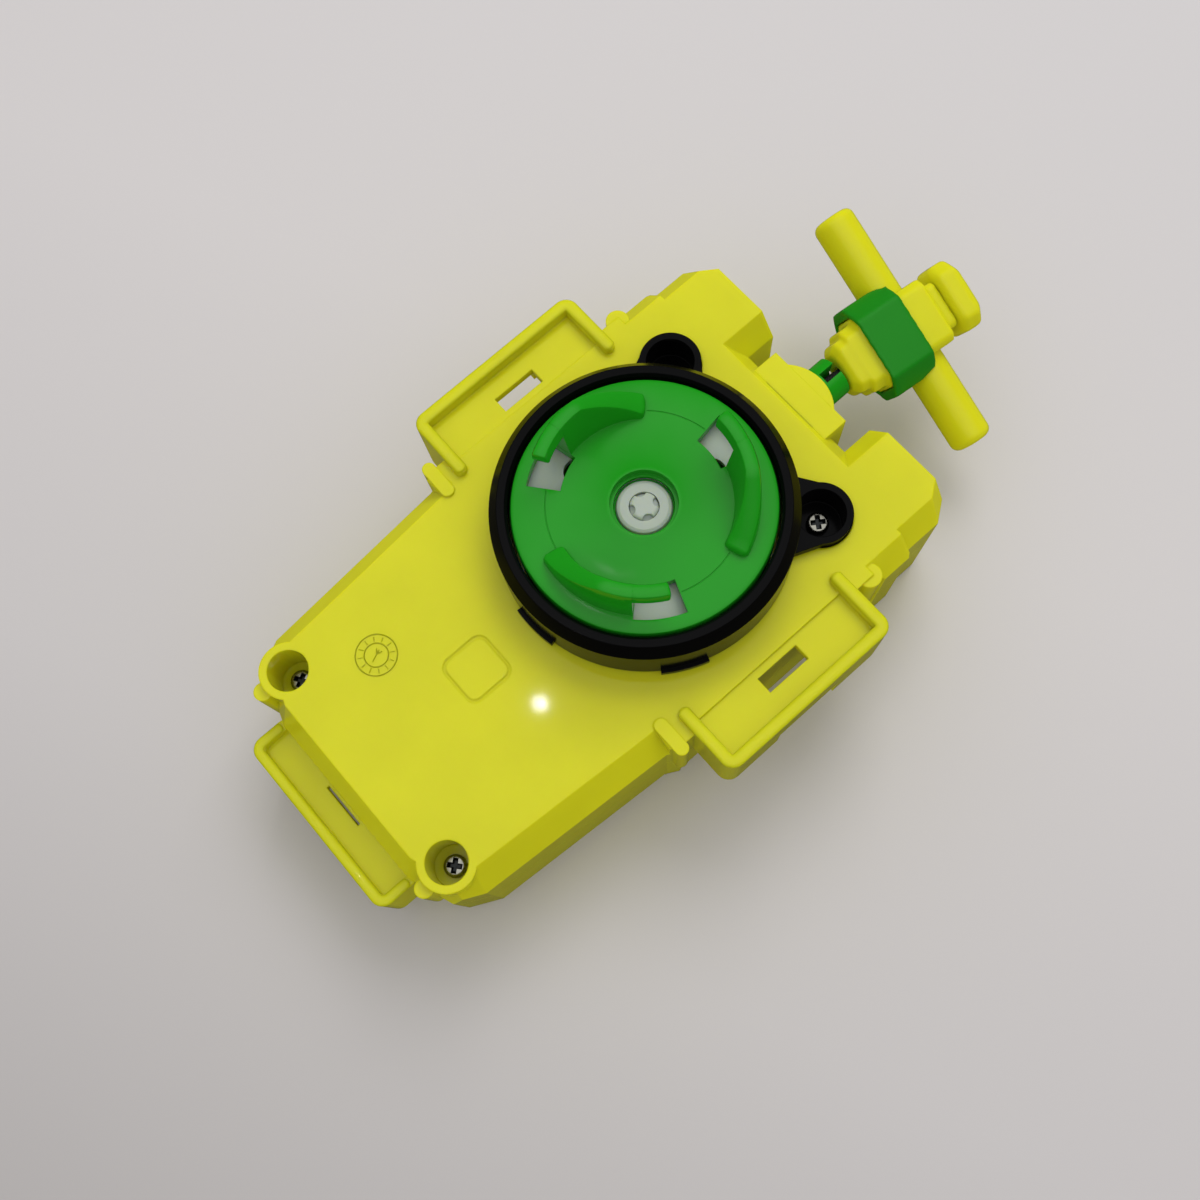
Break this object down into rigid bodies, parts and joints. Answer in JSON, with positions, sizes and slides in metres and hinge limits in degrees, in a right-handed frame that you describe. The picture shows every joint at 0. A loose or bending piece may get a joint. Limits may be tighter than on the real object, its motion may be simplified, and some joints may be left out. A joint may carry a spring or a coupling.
{
  "type": "spinning top launcher",
  "caption": "Hand-held launcher with a pull-cord handle that spins a hooked disc, which releases a spinning top when its centre post is pressed.",
  "frame": {"origin": "on the rear face, under the launching disc's axis", "axes": "+Z out of the front face along the disc's axis, +Y towards the pull handle, +X to the right seen from the front"},
  "size_m": [0.0816, 0.1496, 0.0484],
  "materials": {
    "yellow_plastic": "semi-gloss moulded",
    "green_plastic": "semi-gloss moulded",
    "black_plastic": "gloss moulded",
    "white_plastic": "natural moulded",
    "black_cord": "braided",
    "steel": "plated"
  },
  "bodies": {
    "casing": {"front_casing": "yellow_plastic", "rear_casing": "yellow_plastic", "collar_ring": "black_plastic", "shaft_bush": "white_plastic", "idler_axle": "steel", "reel_axle": "steel", "return_spring": "steel", "cord_run": "black_cord", "outlet_nozzle": "green_plastic", "casing_screws": "steel", "collar_screws": "steel"},
    "reel": {"reel": "green_plastic", "cord_layer": "black_cord", "wound_cord": "black_cord", "spring_cover": "green_plastic"},
    "reel_gear": {"reel_gear": "white_plastic"},
    "idler": {"idler_gear": "white_plastic"},
    "disc": {"launch_disc": "green_plastic", "disc_carrier": "green_plastic", "guide_pin": "white_plastic", "output_shaft": "steel", "output_gear": "white_plastic", "shaft_clips": "steel", "plunger_spring": "steel", "disc_screws": "steel"},
    "plunger": {"release_plunger": "white_plastic"},
    "handle": {"handle_core": "yellow_plastic", "cross_bar": "yellow_plastic", "handle_sleeve": "green_plastic", "end_knob": "yellow_plastic", "handle_cord": "black_cord", "cord_knot": "black_cord"}
  },
  "joints": [
    {"name": "handle_pull", "type": "slide", "parent": "casing", "child": "handle", "axis": [0, 1, 0], "range_m": [0, 0.45], "stiffness_N_per_m": 8, "springref_m": -0.1, "deforming": ["cord_run", "handle_cord"]},
    {"name": "reel_turn", "type": "hinge", "parent": "casing", "child": "reel", "pos_m": [0, -0.036, 0], "axis": [0, 0, 1], "range_deg": [0, 1720], "deforming": ["return_spring"]},
    {"name": "reel_gear_turn", "type": "hinge", "parent": "casing", "child": "reel_gear", "pos_m": [0, -0.036, 0], "axis": [0, 0, 1], "range_deg": [0, 1720]},
    {"name": "idler_turn", "type": "hinge", "parent": "casing", "child": "idler", "pos_m": [0, -0.0112, 0], "axis": [0, 0, 1], "range_deg": [-5895, 0]},
    {"name": "disc_turn", "type": "hinge", "parent": "casing", "child": "disc", "pos_m": [0, 0, 0], "axis": [0, 0, 1], "range_deg": [0, 5895]},
    {"name": "plunger_press", "type": "slide", "parent": "disc", "child": "plunger", "axis": [0, 0, -1], "range_m": [0, 0.002], "stiffness_N_per_m": 200, "springref_m": -0.002, "deforming": ["plunger_spring"]}
  ],
  "couplings": [
    {"joint": "reel_turn", "follows": "handle_pull", "rad_per_m": 66.667},
    {"joint": "reel_gear_turn", "follows": "handle_pull", "rad_per_m": 66.667},
    {"joint": "idler_turn", "follows": "handle_pull", "rad_per_m": -228.57},
    {"joint": "disc_turn", "follows": "handle_pull", "rad_per_m": 228.57}
  ]
}
